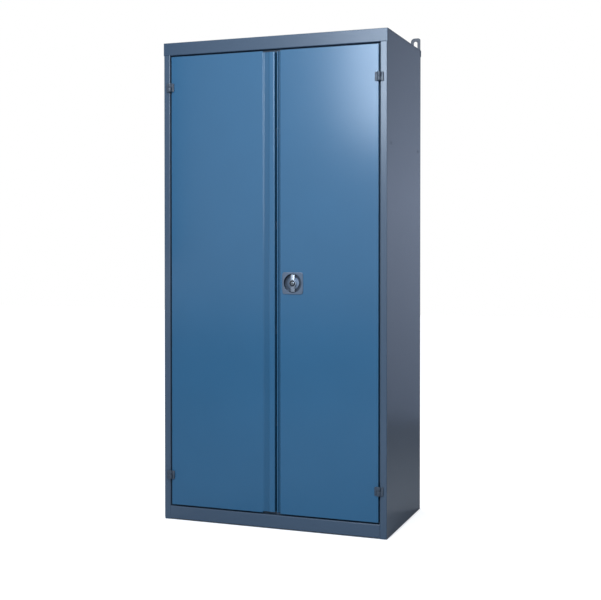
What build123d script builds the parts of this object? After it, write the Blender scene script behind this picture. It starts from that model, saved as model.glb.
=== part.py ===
"""Two-door steel tool cabinet: folded sheet frame, doors on barrel hinges, shelves and a three-way lock.

Frame: X to the right, Y to the back, Z up. The origin is on the floor, midway across the cabinet and midway
between the frame's front and back faces. The doors close flush with the frame's front face.
"""
import math
import os

from build123d import *

os.makedirs("parts", exist_ok=True)

# ---------------------------------------------------------------- driving dimensions (millimetres)
# Overall size, without the hinges in front and the wall lugs above and behind
cabinet_width = 900
cabinet_depth = 500
cabinet_height = 1850

# Sheet and folds of the frame
frame_sheet = 1.5
bend_radius = 2.6
stile_width = 25.5
top_rail_height = 49
bottom_rail_height = 52
bottom_rail_lift = 3
rebate_depth = 23
stop_lip = 12
rear_flange = 20
cap_rear_flange = 25
hidden_flange = 15
corner_wrap = 18
base_flange = 20
foot_relief_width = 4
foot_relief_height = 9
link_hole_radius = 3.25
link_hole_height = 1440
link_hole_front_setback = 54
link_hole_rear_setback = 46

# Floor pan
floor_flange = 25
pan_fold_radius = 3

# Wall lugs
lug_width = 39
lug_thickness = 3
lug_height_above_roof = 51
lug_length = 140
lug_slot_width = 15
lug_slot_length = 34
lug_crown = 13
lug_edge_inset = 2
lug_inner_radius = 15
lug_outer_radius = 9

# Shelf uprights, shelves and clips
upright_width = 30
upright_projection = 14
upright_sheet = 1.5
upright_front_setback = 80
upright_rear_setback = 70
upright_top_gap = 35
slot_pitch = 50
slot_width = 16
slot_height = 4
slot_count = 29
first_slot_height = 250
shelf_slots = (3, 10, 18, 25)
shelf_sheet = 1.2
shelf_height = 30
shelf_return = 12
shelf_front_setback = 45
shelf_rear_gap = 7
shelf_side_gap = 0.3
shelf_edge_radius = 1
clip_sheet = 1.5
clip_width = 12
clip_ledge = 14
clip_drop = 20
clip_rise = 5
clip_hook = 5
clip_slot_play = 0.4

# Doors
door_sheet = 1.2
door_depth = 20
door_bend = 2
door_lip = 12
side_gap = 6
top_gap = 6.5
bottom_gap = 6.5
meeting_gap = 7.5
meeting_x = 17.5
meeting_edge_shortfall = 4.5
left_edge_bend = 5
left_ridge_width = 19.5
left_groove_slope = 6
left_groove_floor = 17
left_groove_depth = 2.5
left_groove_bend = 2
right_strip_width = 5.5
right_groove_slope = 2.5
right_groove_floor = 3.75
right_groove_depth = 4.5
right_groove_bend = 1.4
door_edge_round = 0.9

# Door stiffeners
stiffener_web = 50
stiffener_foot = 20
stiffener_depth = 15
stiffener_end_gap = 90

# Door buffers
buffer_side = 9
buffer_chamfer = 1.5
buffer_rest_gap = 0.3
buffer_inner_x = 90
buffer_outer_x = 330

# Hinges
hinge_height = 32
hinge_end_distance = 174
hinge_barrel_radius = 7
hinge_pin_radius = 3
hinge_pin_clearance = 0.05
hinge_leaf_thickness = 6
hinge_leaf_reach = 16
hinge_leaf_chamfer = 2
hinge_leaf_setback = 1
hinge_knuckle_gap = 0.4
hinge_pin_end = 0.8

# Lock escutcheon
lock_x = 85.5
lock_z = 925
escutcheon_side = 82
escutcheon_corner = 10
escutcheon_proud = 3
escutcheon_round = 1.2
cup_radius = 35
cup_wall = 2.5
cup_depth = 13
cup_floor = 2
cup_hole_clearance = 0.5
stud_radius = 2
stud_inset = 8
stud_length = 9
stud_hole_side = 5
nut_across_flats = 7
nut_height = 3.2

# Handle
running_clearance = 0.08
handle_floor_gap = 0.3
hub_radius = 23
hub_height = 6
grip_width = 17
grip_cup_gap = 1.5
grip_proud = 1.5
grip_end_drop = 4
boss_radius = 13
boss_proud = 0.5
handle_edge = 1.5
spindle_radius = 4
spindle_square = 5.6
square_play = 0.05
cam_screw_radius = 2
cam_screw_head_radius = 4.4
cam_screw_head_height = 1.6
cam_screw_grip = 4
thread_play = 0.05

# Key cylinder and plug
cylinder_radius = 10
cylinder_flange_radius = 11.5
cylinder_flange_height = 1
cylinder_length = 9.5
plug_radius = 6.5
plug_length = 9
plug_recess = 0.4
plug_end_play = 0.3
keyway_width = 2
keyway_height = 8.5
keyway_depth = 7
keyway_angle = 30

# Lock works behind the door
rod_travel = 14
cam_thickness = 3.4
cam_pin_radius = 2
cam_rim = 2
pin_play = 0.45
slide_play = 0.4
bolt_slot_play = 0.6
bolt_thickness = 3
bolt_cup_gap = 0.6
bolt_cam_gap = 0.6
bolt_height = 11.4
bolt_spindle_gap = 0.6
bolt_tail = 4
bolt_tip_inset = 0.4
rod_thickness = 3
rod_width = 15
rod_middle_gap = 1
rod_lip_gap = 0.4
rod_end_gap = 4
rod_foot = 4
rod_tip_chamfer = 4
case_sheet = 1.5
case_half_width = 41
case_half_height = 34
case_foot = 8
case_rod_gap = 0.8
guide_sheet = 1.5
guide_height = 25
guide_overhang = 5
guide_side = 4
guide_end_distance = 95
keeper_sheet = 2
keeper_height = 40
keeper_edge = 1.7
pin_end_gap = 0.2

# ---------------------------------------------------------------- places worked out from the sizes
front_y = -cabinet_depth / 2
back_y = cabinet_depth / 2
side_x = cabinet_width / 2 - frame_sheet
wall_x = side_x - frame_sheet
stile_x = side_x - stile_width
roof_z = cabinet_height - frame_sheet
top_rail_z = cabinet_height - top_rail_height
lip_rear_y = front_y + rebate_depth
lip_front_y = lip_rear_y - frame_sheet
top_lip_z = top_rail_z - stop_lip
bottom_lip_z = bottom_rail_height + stop_lip
floor_z = bottom_rail_height
back_panel_y = back_y - 2 * frame_sheet
notch_y = lip_front_y - bend_radius

door_x = stile_x - side_gap
door_rear_y = front_y + door_depth
skin_y = front_y + door_sheet
door_bottom_z = bottom_rail_height + bottom_gap
door_top_z = top_rail_z - top_gap
left_edge_x = meeting_x - meeting_gap / 2
right_edge_x = meeting_x + meeting_gap / 2
left_groove_x = left_edge_x - left_ridge_width - 2 * left_groove_slope - left_groove_floor
right_groove_x = right_edge_x + right_strip_width + 2 * right_groove_slope + right_groove_floor

hinge_x = door_x + side_gap / 2
hinge_y = front_y - hinge_barrel_radius
hinge_heights = {"lower": hinge_end_distance, "upper": cabinet_height - hinge_end_distance}

upright_x = wall_x - upright_projection
upright_rows = {"front": front_y + upright_front_setback, "rear": back_y - upright_rear_setback}
upright_top_z = roof_z - upright_top_gap
shelf_x = upright_x - clip_sheet - shelf_side_gap
shelf_front_y = front_y + shelf_front_setback
shelf_rear_y = back_panel_y - shelf_rear_gap
slot_levels = [first_slot_height + slot_pitch * i for i in range(slot_count)]
shelf_levels = [slot_levels[i] for i in shelf_slots]

plate_front_y = front_y - escutcheon_proud
cup_floor_y = plate_front_y + cup_depth
cup_rear_y = cup_floor_y + cup_floor
knob_rear_y = cup_floor_y - handle_floor_gap
grip_front_y = plate_front_y - grip_proud
grip_length_radius = cup_radius - grip_cup_gap
cylinder_front_y = grip_front_y - cylinder_flange_height
bolt_front_y = cup_rear_y + bolt_cup_gap
bolt_rear_y = bolt_front_y + bolt_thickness
cam_front_y = bolt_rear_y + bolt_cam_gap
cam_rear_y = cam_front_y + cam_thickness
rod_front_y = lip_rear_y + rod_lip_gap
rod_rear_y = rod_front_y + rod_thickness
case_front_y = rod_rear_y + case_rod_gap
case_rear_y = case_front_y + case_sheet

# The cam's pins turn a quarter turn, from 45 degrees on one side of level to 45 degrees on the other
pin_circle = rod_travel / math.sqrt(2)
pin_offset = pin_circle * math.sqrt(0.5)
cam_radius = pin_circle + cam_pin_radius + cam_rim
pin_slot = cam_pin_radius + pin_play


# ---------------------------------------------------------------- shapes used by several pieces
def block(x_limits, y_limits, z_limits, mode=Mode.ADD):
    """A box between two limits on each axis, added to the open part or cut from it."""
    sizes = [high - low for low, high in (x_limits, y_limits, z_limits)]
    centre = [(high + low) / 2 for low, high in (x_limits, y_limits, z_limits)]
    with Locations(Vector(*centre)):
        Box(*sizes, mode=mode)


def folded_section(plane, outline, radius, sheet, side):
    """The section of a folded sheet, thickened to one side: its folds are rounded, or sharp at radius 0."""
    with BuildSketch(plane) as section:
        with BuildLine():
            if radius:
                FilletPolyline(*outline, radius=radius)
            else:
                Polyline(*outline)
            offset(amount=sheet, side=side, kind=Kind.INTERSECTION)
        make_face()
    return section.sketch


def finish(part, name):
    """Labels a finished piece and writes it to its own file."""
    part.label = name
    export_step(part, f"parts/{name}.step")


# ---------------------------------------------------------------- frame
# Side panel: stop lip, return, front stile, side and rear flange folded from one sheet. The lip is notched at
# both ends for the lips of the top cap and the bottom rail, and the stile stops under the cap's front flange.
# Two holes in the side take the bolts that link cabinets side by side.
def side_panel(hand):
    outline = [
        (stile_x - stop_lip, lip_front_y),
        (stile_x, lip_front_y),
        (stile_x, front_y),
        (side_x, front_y),
        (side_x, back_y),
        (side_x - rear_flange, back_y),
    ]
    outline = [(hand * x, y) for x, y in outline]
    material_side = Side.LEFT if hand > 0 else Side.RIGHT
    inner_x = sorted((0, hand * wall_x))
    outer_x = sorted((0, hand * cabinet_width))
    lip_x = sorted((hand * (stile_x - 2 * stop_lip), hand * (stile_x + frame_sheet + bend_radius)))
    with BuildPart() as panel:
        section = folded_section(Plane.XY, outline, bend_radius, frame_sheet, material_side)
        extrude(section, amount=roof_z)
        # notches for the lips of the rail and the cap
        block(lip_x, (notch_y, lip_rear_y + 1), (0, bottom_lip_z), Mode.SUBTRACT)
        block(lip_x, (notch_y, lip_rear_y + 1), (top_lip_z, cabinet_height), Mode.SUBTRACT)
        # the cap's front flange and rear flange take the place of the stile and the rear flange
        block(inner_x, (front_y - 1, 0), (top_rail_z, cabinet_height), Mode.SUBTRACT)
        block(outer_x, (front_y - 1, front_y + frame_sheet), (top_rail_z, cabinet_height), Mode.SUBTRACT)
        cap_flange_z = (cabinet_height - cap_rear_flange, cabinet_height)
        block(inner_x, (0, back_y + 1), cap_flange_z, Mode.SUBTRACT)
        block(outer_x, (back_y - frame_sheet, back_y + 1), cap_flange_z, Mode.SUBTRACT)
        for corner_y in (front_y, back_y):
            corner_limits = (corner_y - bend_radius, corner_y + bend_radius)
            block(outer_x, corner_limits, (cabinet_height - bend_radius, cabinet_height), Mode.SUBTRACT)
        # flanges folded in under the roof and on the floor
        roof_flange_x = sorted((hand * (wall_x - hidden_flange), hand * (side_x - frame_sheet / 2)))
        base_flange_x = sorted((hand * (wall_x - base_flange), hand * (side_x - frame_sheet / 2)))
        flange_y = (lip_rear_y + stop_lip, back_panel_y - rear_flange)
        block(roof_flange_x, flange_y, (roof_z - frame_sheet, roof_z))
        block(base_flange_x, flange_y, (0, frame_sheet))
        # relief at the foot of the front corner, where the folds meet
        with BuildSketch(Plane.XZ.offset(-front_y - bend_radius - frame_sheet)):
            with BuildLine():
                Polyline(
                    (hand * side_x, 0),
                    (hand * (side_x - foot_relief_width), 0),
                    (hand * side_x, foot_relief_height),
                    close=True,
                )
            make_face()
        extrude(amount=2 * (bend_radius + frame_sheet), mode=Mode.SUBTRACT)
        with BuildSketch(Plane.YZ):
            hole_rows = (front_y + link_hole_front_setback, back_y - link_hole_rear_setback)
            with Locations(*[(hole_y, link_hole_height) for hole_y in hole_rows]):
                Circle(link_hole_radius)
        extrude(amount=hand * cabinet_width, mode=Mode.SUBTRACT)
    return panel.part


finish(side_panel(1), "right_side_panel")
finish(side_panel(-1), "left_side_panel")

# Back panel: a plain sheet behind the rear flanges of the sides and the cap, seen from inside
with BuildPart() as back_panel:
    back_panel_x = wall_x - bend_radius
    block(
        (-back_panel_x, back_panel_x),
        (back_panel_y, back_y - frame_sheet),
        (floor_z - floor_flange, roof_z - bend_radius),
    )
finish(back_panel.part, "back_panel")

# Top cap: roof, rear flange, front flange, and the return and lip that the doors close against
with BuildPart() as top_cap:
    section = folded_section(
        Plane.YZ,
        [
            (lip_front_y, top_lip_z),
            (lip_front_y, top_rail_z),
            (front_y, top_rail_z),
            (front_y, cabinet_height),
            (back_y, cabinet_height),
            (back_y, cabinet_height - cap_rear_flange),
        ],
        bend_radius,
        frame_sheet,
        Side.RIGHT,
    )
    extrude(section, amount=cabinet_width / 2, both=True)
    for hand in (1, -1):
        # the lip stops at the stiles, and the return at the side walls
        beside_lip = sorted((hand * (stile_x + frame_sheet), hand * cabinet_width))
        beside_wall = sorted((hand * wall_x, hand * cabinet_width))
        return_top_z = top_rail_z + frame_sheet + bend_radius
        block(beside_lip, (front_y - 1, 0), (0, top_rail_z), Mode.SUBTRACT)
        block(beside_wall, (front_y + frame_sheet, 0), (0, return_top_z), Mode.SUBTRACT)
        # the front flange is wrapped round the corner onto the side
        wrap_x = sorted((hand * side_x, hand * cabinet_width / 2))
        block(wrap_x, (front_y + bend_radius, front_y + corner_wrap), (top_rail_z, roof_z))
        block(wrap_x, (front_y, front_y + bend_radius), (top_rail_z, cabinet_height - bend_radius))
    # rounded front corners
    with BuildSketch() as plan:
        Rectangle(cabinet_width, cabinet_depth)
        fillet(plan.vertices().group_by(Axis.Y)[0], frame_sheet)
    extrude(amount=cabinet_height, mode=Mode.INTERSECT)
finish(top_cap.part, "top_cap")

# Bottom rail: front rail between the stiles, folded back under itself, with the return and lip of the rebate
with BuildPart() as bottom_rail:
    section = folded_section(
        Plane.YZ,
        [
            (front_y + hidden_flange, bottom_rail_lift),
            (front_y, bottom_rail_lift),
            (front_y, bottom_rail_height),
            (lip_front_y, bottom_rail_height),
            (lip_front_y, bottom_lip_z),
        ],
        bend_radius,
        frame_sheet,
        Side.RIGHT,
    )
    extrude(section, amount=stile_x, both=True)
finish(bottom_rail.part, "bottom_rail")

# Floor pan: the cabinet's floor, a tray turned upside down between the side walls
with BuildPart() as floor_panel:
    block((-wall_x, wall_x), (lip_rear_y, back_panel_y), (floor_z - floor_flange, floor_z))
    fillet(floor_panel.edges().filter_by(Axis.Z), pan_fold_radius)
    offset(amount=-frame_sheet, openings=floor_panel.faces().sort_by(Axis.Z)[0])
finish(floor_panel.part, "floor_panel")


# Wall lug: flat strap on the back, with a slotted eye that stands above the roof
def wall_lug(hand):
    outer_x = hand * (side_x - lug_edge_inset)
    centre_x = outer_x - hand * lug_width / 2
    top_z = cabinet_height + lug_height_above_roof
    with BuildPart() as lug:
        block(
            (centre_x - lug_width / 2, centre_x + lug_width / 2),
            (back_y, back_y + lug_thickness),
            (top_z - lug_length, top_z),
        )
        outward = Axis((0, 0, 0), (hand, 0, 0))
        for corner, radius in ((0, lug_inner_radius), (-1, lug_outer_radius)):
            crown = lug.edges().filter_by(Axis.Y).group_by(Axis.Z)[-1].sort_by(outward)
            fillet(crown[corner], radius)
        with BuildSketch(Plane.XZ.offset(-back_y)):
            with Locations((centre_x, top_z - lug_crown - lug_slot_length / 2)):
                SlotOverall(lug_slot_length, lug_slot_width, rotation=90)
        extrude(amount=-lug_thickness, mode=Mode.SUBTRACT)
    return lug.part


finish(wall_lug(1), "right_wall_lug")
finish(wall_lug(-1), "left_wall_lug")


# ---------------------------------------------------------------- shelving
# Upright: channel with its open side on the wall and a row of slots in its web
def shelf_upright(hand, centre_y):
    low_y = centre_y - upright_width / 2
    high_y = centre_y + upright_width / 2
    outline = [(wall_x, low_y), (upright_x, low_y), (upright_x, high_y), (wall_x, high_y)]
    outline = [(hand * x, y) for x, y in outline]
    with BuildPart() as upright:
        material_side = Side.RIGHT if hand > 0 else Side.LEFT
        section = folded_section(Plane.XY.offset(floor_z), outline, bend_radius, upright_sheet, material_side)
        extrude(section, amount=upright_top_z - floor_z)
        slot_x = sorted((hand * (upright_x - 1), hand * (upright_x + upright_sheet + 1)))
        slot_y = (centre_y - slot_width / 2, centre_y + slot_width / 2)
        for level in slot_levels:
            block(slot_x, slot_y, (level - slot_height / 2, level + slot_height / 2), Mode.SUBTRACT)
    return upright.part


for side_name, hand in (("left", -1), ("right", 1)):
    for row_name, row_y in upright_rows.items():
        finish(shelf_upright(hand, row_y), f"{side_name}_{row_name}_upright")


# Shelf: tray turned upside down, its edges folded down and then in
def shelf(level):
    bottom_z = level - clip_drop
    with BuildPart() as tray:
        block((-shelf_x, shelf_x), (shelf_front_y, shelf_rear_y), (bottom_z, bottom_z + shelf_height))
        fillet(tray.edges().group_by(Axis.Z)[-1].filter_by(Axis.X), shelf_edge_radius)
        block(
            (shelf_sheet - shelf_x, shelf_x - shelf_sheet),
            (shelf_front_y + shelf_sheet, shelf_rear_y - shelf_sheet),
            (bottom_z + shelf_sheet, bottom_z + shelf_height - shelf_sheet),
            Mode.SUBTRACT,
        )
        block(
            (shelf_return - shelf_x, shelf_x - shelf_return),
            (shelf_front_y + shelf_return, shelf_rear_y - shelf_return),
            (bottom_z, bottom_z + shelf_sheet),
            Mode.SUBTRACT,
        )
    return tray.part


for number, shelf_level in enumerate(shelf_levels, start=1):
    finish(shelf(shelf_level), f"shelf_{number}")


# Shelf clip: strip folded into a hook that goes through a slot, a plate and a ledge under the shelf
def shelf_clip(hand, centre_y, level):
    plate_x = upright_x - clip_sheet
    tab_top_z = level + slot_height / 2 - clip_slot_play
    hook_x = upright_x + upright_sheet + clip_slot_play
    ledge_z = level - clip_drop
    across = (centre_y - clip_width / 2, centre_y + clip_width / 2)

    def x_limits(low, high):
        return sorted((hand * low, hand * high))

    block(x_limits(plate_x, upright_x), across, (ledge_z - clip_sheet, level + clip_rise))
    block(x_limits(plate_x - clip_ledge, plate_x), across, (ledge_z - clip_sheet, ledge_z))
    block(x_limits(upright_x, hook_x + clip_sheet), across, (tab_top_z - clip_sheet, tab_top_z))
    block(x_limits(hook_x, hook_x + clip_sheet), across, (tab_top_z - clip_hook, tab_top_z))


with BuildPart() as shelf_clips:
    for clip_level in shelf_levels:
        for clip_y in upright_rows.values():
            shelf_clip(-1, clip_y, clip_level)
            shelf_clip(1, clip_y, clip_level)
finish(shelf_clips.part, "shelf_clips")


# ---------------------------------------------------------------- doors
# Left door: one folded tray. Beside the meeting edge it has a pressed groove and a ridge that is flush with the
# panel and ends in a wide round fold. This strip is a little shorter than the panel at both ends.
def door_returns(x_limits):
    """The folds along the top and the bottom of a door's flat panel."""
    for low_z in (door_bottom_z, door_top_z - door_sheet):
        block(x_limits, (front_y + door_sheet / 2, door_rear_y), (low_z, low_z + door_sheet))


def cut_strip_ends(x_limits):
    """Shortens the strip beside the meeting edge at both ends."""
    depth = (front_y - 1, door_rear_y + 1)
    block(x_limits, depth, (door_bottom_z - 1, door_bottom_z + meeting_edge_shortfall), Mode.SUBTRACT)
    block(x_limits, depth, (door_top_z - meeting_edge_shortfall, door_top_z + 1), Mode.SUBTRACT)


def round_end_folds():
    """Rounds the front edges where the skin turns into the top and bottom folds."""
    centre_y = front_y + door_edge_round
    for edge_z, inward in ((door_bottom_z, 1), (door_top_z, -1)):
        centre_z = edge_z + inward * door_edge_round
        with BuildSketch(Plane.YZ) as corner:
            with Locations(((front_y + centre_y) / 2, (edge_z + centre_z) / 2)):
                Rectangle(door_edge_round, door_edge_round)
            with Locations((centre_y, centre_z)):
                Circle(door_edge_round, mode=Mode.SUBTRACT)
        extrude(corner.sketch, amount=cabinet_width / 2, both=True, mode=Mode.SUBTRACT)


def bolt_slot(x_limits):
    """The slot for the side bolt in a door's meeting edge."""
    block(
        x_limits,
        (bolt_front_y - bolt_slot_play, bolt_rear_y + bolt_slot_play),
        (bolt_bottom_z - bolt_slot_play, bolt_top_z + bolt_slot_play),
        Mode.SUBTRACT,
    )


bolt_top_z = lock_z - spindle_radius - bolt_spindle_gap
bolt_bottom_z = bolt_top_z - bolt_height

with BuildPart() as left_door_panel:
    groove_floor_y = front_y + left_groove_depth
    groove_floor_x = left_groove_x + left_groove_slope
    ridge_x = left_edge_x - left_ridge_width
    section = folded_section(
        Plane.XY.offset(door_bottom_z),
        [
            (door_lip - door_x, door_rear_y),
            (-door_x, door_rear_y),
            (-door_x, front_y),
            (left_groove_x, front_y),
            (groove_floor_x, groove_floor_y),
            (groove_floor_x + left_groove_floor, groove_floor_y),
            (ridge_x, front_y),
            (left_edge_x, front_y),
            (left_edge_x, door_rear_y),
            (left_edge_x - door_lip, door_rear_y),
        ],
        [door_bend, door_bend] + 4 * [left_groove_bend] + [left_edge_bend, door_bend],
        door_sheet,
        Side.LEFT,
    )
    extrude(section, amount=door_top_z - door_bottom_z)
    door_returns((door_sheet / 2 - door_x, left_groove_x))
    cut_strip_ends((left_groove_x, left_edge_x + 1))
    round_end_folds()
    bolt_slot((left_edge_x - door_lip / 2, left_edge_x + 1))
finish(left_door_panel.part, "left_door_panel")

# Right door: the mirror form with a narrow strip and groove, the lock's round hole and two square stud holes
with BuildPart() as right_door_panel:
    groove_floor_y = front_y + right_groove_depth
    strip_x = right_edge_x + right_strip_width
    section = folded_section(
        Plane.XY.offset(door_bottom_z),
        [
            (door_x - door_lip, door_rear_y),
            (door_x, door_rear_y),
            (door_x, front_y),
            (right_groove_x, front_y),
            (right_groove_x - right_groove_slope, groove_floor_y),
            (strip_x + right_groove_slope, groove_floor_y),
            (strip_x, front_y),
            (right_edge_x, front_y),
            (right_edge_x, door_rear_y),
            (right_edge_x + door_lip, door_rear_y),
        ],
        [door_bend, door_bend] + 4 * [right_groove_bend] + [door_bend, door_bend],
        door_sheet,
        Side.RIGHT,
    )
    extrude(section, amount=door_top_z - door_bottom_z)
    door_returns((right_groove_x, door_x - door_sheet / 2))
    cut_strip_ends((right_edge_x - 1, right_groove_x))
    round_end_folds()
    bolt_slot((right_edge_x - 1, right_edge_x + door_lip / 2))
    stud_offset = escutcheon_side / 2 - stud_inset
    stud_places = [(-stud_offset, stud_offset), (stud_offset, -stud_offset)]
    with BuildSketch(Plane.XZ.offset(-front_y)):
        with Locations((lock_x, lock_z)):
            Circle(cup_radius + cup_wall + cup_hole_clearance)
            with Locations(*stud_places):
                Rectangle(stud_hole_side, stud_hole_side)
    extrude(amount=-2 * door_sheet, mode=Mode.SUBTRACT)
finish(right_door_panel.part, "right_door_panel")


# Door stiffener: upright hat section welded to the back of the door's skin
def door_stiffener(centre_x):
    half_web = stiffener_web / 2
    top_y = skin_y + stiffener_depth
    foot_y = skin_y + door_sheet
    outline = [
        (centre_x - half_web - stiffener_foot, foot_y),
        (centre_x - half_web, foot_y),
        (centre_x - half_web, top_y),
        (centre_x + half_web, top_y),
        (centre_x + half_web, foot_y),
        (centre_x + half_web + stiffener_foot, foot_y),
    ]
    with BuildPart() as stiffener:
        section = folded_section(
            Plane.XY.offset(door_bottom_z + stiffener_end_gap), outline, 0, door_sheet, Side.RIGHT
        )
        extrude(section, amount=door_top_z - door_bottom_z - 2 * stiffener_end_gap)
    return stiffener.part


left_stiffener_x = (left_groove_x - door_x) / 2
right_stiffener_x = (lock_x + case_half_width + case_foot + door_x) / 2
finish(door_stiffener(left_stiffener_x), "left_door_stiffener")
finish(door_stiffener(right_stiffener_x), "right_door_stiffener")

# Keeper: plate behind the left door's meeting edge, with the slot that the side bolt enters
with BuildPart() as bolt_keeper:
    keeper_x = left_edge_x - door_sheet
    bolt_middle_z = (bolt_top_z + bolt_bottom_z) / 2
    block(
        (keeper_x - keeper_sheet, keeper_x),
        (bolt_front_y - bolt_slot_play - keeper_edge, bolt_rear_y + bolt_slot_play + keeper_edge),
        (bolt_middle_z - keeper_height / 2, bolt_middle_z + keeper_height / 2),
    )
    bolt_slot((keeper_x - keeper_sheet - 1, keeper_x + 1))
finish(bolt_keeper.part, "bolt_keeper")

# Door buffers: rubber pads on the stop lips, with the door's edge folds just in front of them
with BuildPart() as door_buffers:
    buffer_y = (door_rear_y + buffer_rest_gap, lip_front_y)
    for low_z in (top_lip_z, bottom_lip_z - buffer_side):
        for x in (-buffer_outer_x, -buffer_inner_x, buffer_inner_x, buffer_outer_x):
            block((x - buffer_side / 2, x + buffer_side / 2), buffer_y, (low_z, low_z + buffer_side))
    chamfer(door_buffers.edges().filter_by(Axis.Y), buffer_chamfer)
finish(door_buffers.part, "door_buffers")


# ---------------------------------------------------------------- hinges
# Each hinge has a frame leaf with the lower knuckle, a door leaf with the upper knuckle that stands on it, and a
# pin. The leaves are thick blocks on the front faces, as high as the barrel.
lower_knuckle = (-hinge_height / 2, -hinge_knuckle_gap / 2)
upper_knuckle = (hinge_knuckle_gap / 2, hinge_height / 2)


def hinge_leaf(axis_x, centre_z, direction, knuckle):
    """A leaf that reaches from the hinge axis to one side (direction 1 is towards +X)."""
    leaf_y = (front_y - hinge_leaf_thickness, front_y)
    free_x = hinge_barrel_radius + hinge_leaf_setback
    low_z, high_z = knuckle
    with BuildPart() as leaf:
        block(
            sorted((axis_x + direction * free_x, axis_x + direction * hinge_leaf_reach)),
            leaf_y,
            (centre_z - hinge_height / 2, centre_z + hinge_height / 2),
        )
        outer_edges = leaf.edges().filter_by(Axis.Y).group_by(Axis.X)[-1 if direction > 0 else 0]
        chamfer(outer_edges, hinge_leaf_chamfer)
        with BuildSketch(Plane.XY.offset(centre_z + low_z)):
            with Locations((axis_x, hinge_y)):
                Circle(hinge_barrel_radius)
            with Locations((axis_x + direction * free_x / 2, front_y - hinge_leaf_thickness / 2)):
                Rectangle(free_x, hinge_leaf_thickness)
            with Locations((axis_x, hinge_y)):
                Circle(hinge_pin_radius + hinge_pin_clearance, mode=Mode.SUBTRACT)
        extrude(amount=high_z - low_z)
    return leaf.part


def hinge_pin(axis_x, centre_z):
    """A pin a little longer than the barrel, pressed into the frame leaf's knuckle."""
    with BuildPart() as pin:
        with BuildSketch(Plane.XY.offset(centre_z - hinge_height / 2 - hinge_pin_end)):
            with Locations((axis_x, hinge_y)):
                Circle(hinge_pin_radius)
        extrude(amount=hinge_height + 2 * hinge_pin_end)
    return pin.part


for side_name, hand in (("left", -1), ("right", 1)):
    for end_name, hinge_z in hinge_heights.items():
        axis_x = hand * hinge_x
        place = f"{end_name}_{side_name}"
        finish(hinge_leaf(axis_x, hinge_z, hand, lower_knuckle), f"hinge_frame_leaf_{place}")
        finish(hinge_leaf(axis_x, hinge_z, -hand, upper_knuckle), f"hinge_door_leaf_{place}")
        finish(hinge_pin(axis_x, hinge_z), f"hinge_pin_{place}")


# ---------------------------------------------------------------- lock, outside
def facing_front(y):
    """A sketch plane at depth y with its origin on the lock's axis: +X right, +Y up, normal to the front."""
    return Plane(origin=(lock_x, y, lock_z), x_dir=(1, 0, 0), z_dir=(0, -1, 0))


# Escutcheon: square plate with a round cup let into the door, a bore in the cup's floor and studs in two corners
with BuildPart() as lock_escutcheon:
    with BuildSketch(facing_front(front_y)):
        RectangleRounded(escutcheon_side, escutcheon_side, escutcheon_corner)
    extrude(amount=escutcheon_proud)
    chamfer(lock_escutcheon.faces().sort_by(Axis.Y)[0].edges(), escutcheon_round)
    with BuildSketch(facing_front(cup_rear_y)):
        Circle(cup_radius + cup_wall)
    extrude(amount=cup_rear_y - front_y)
    with BuildSketch(facing_front(cup_floor_y)):
        Circle(cup_radius)
    extrude(amount=cup_depth, mode=Mode.SUBTRACT)
    with BuildSketch(facing_front(cup_rear_y)):
        Circle(spindle_radius + running_clearance)
    extrude(amount=cup_floor, mode=Mode.SUBTRACT)
    with BuildSketch(facing_front(front_y)):
        with Locations(*stud_places):
            Circle(stud_radius)
    extrude(amount=-stud_length)
finish(lock_escutcheon.part, "lock_escutcheon")

# Nuts on the studs, tight against the back of the door's skin
with BuildPart() as escutcheon_nuts:
    with BuildSketch(facing_front(skin_y + nut_height)):
        with Locations(*stud_places):
            RegularPolygon(nut_across_flats / 2, 6, major_radius=False)
            Circle(stud_radius + thread_play, mode=Mode.SUBTRACT)
    extrude(amount=nut_height)
finish(escutcheon_nuts.part, "escutcheon_nuts")

# Knob: round hub, an arched grip bar across it that ends at the cup's circle, and a boss for the key cylinder
with BuildPart() as handle_knob:
    crest_y = grip_front_y + boss_proud
    bar_ends = [(crest_y + grip_end_drop, lock_z + end * cup_radius) for end in (-1, 1)]
    with BuildSketch(Plane.YZ.offset(lock_x)):
        with BuildLine():
            ThreePointArc(bar_ends[0], (crest_y, lock_z), bar_ends[1])
            Polyline(
                bar_ends[1],
                (knob_rear_y, lock_z + cup_radius),
                (knob_rear_y, lock_z - cup_radius),
                bar_ends[0],
            )
        make_face()
    extrude(amount=grip_width / 2, both=True)
    with BuildSketch(facing_front(knob_rear_y)):
        Circle(grip_length_radius)
    extrude(amount=knob_rear_y - grip_front_y, mode=Mode.INTERSECT)
    chamfer(handle_knob.faces().sort_by(Axis.Y)[0].edges(), handle_edge)
    with BuildSketch(facing_front(knob_rear_y)):
        Circle(hub_radius)
    extrude(amount=hub_height)
    with BuildSketch(facing_front(knob_rear_y)):
        Circle(boss_radius)
    extrude(amount=knob_rear_y - grip_front_y)
    with BuildSketch(facing_front(grip_front_y)):
        Circle(cylinder_radius + thread_play)
    extrude(amount=-cylinder_length - thread_play, mode=Mode.SUBTRACT)
    with BuildSketch(facing_front(knob_rear_y)):
        Circle(cam_screw_radius + thread_play)
    extrude(amount=cam_screw_grip + plug_end_play, mode=Mode.SUBTRACT)
finish(handle_knob.part, "handle_knob")

# Spindle: round where it turns in the cup's floor, square in the cam, bored for the cam screw
with BuildPart() as handle_spindle:
    with BuildSketch(facing_front(cam_front_y)):
        Circle(spindle_radius)
    extrude(amount=cam_front_y - knob_rear_y)
    with BuildSketch(facing_front(cam_rear_y - square_play)):
        Rectangle(spindle_square, spindle_square)
    extrude(amount=cam_thickness)
    with BuildSketch(facing_front(cam_rear_y)):
        Circle(cam_screw_radius + thread_play)
    extrude(amount=cam_rear_y - knob_rear_y, mode=Mode.SUBTRACT)
finish(handle_spindle.part, "handle_spindle")

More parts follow.
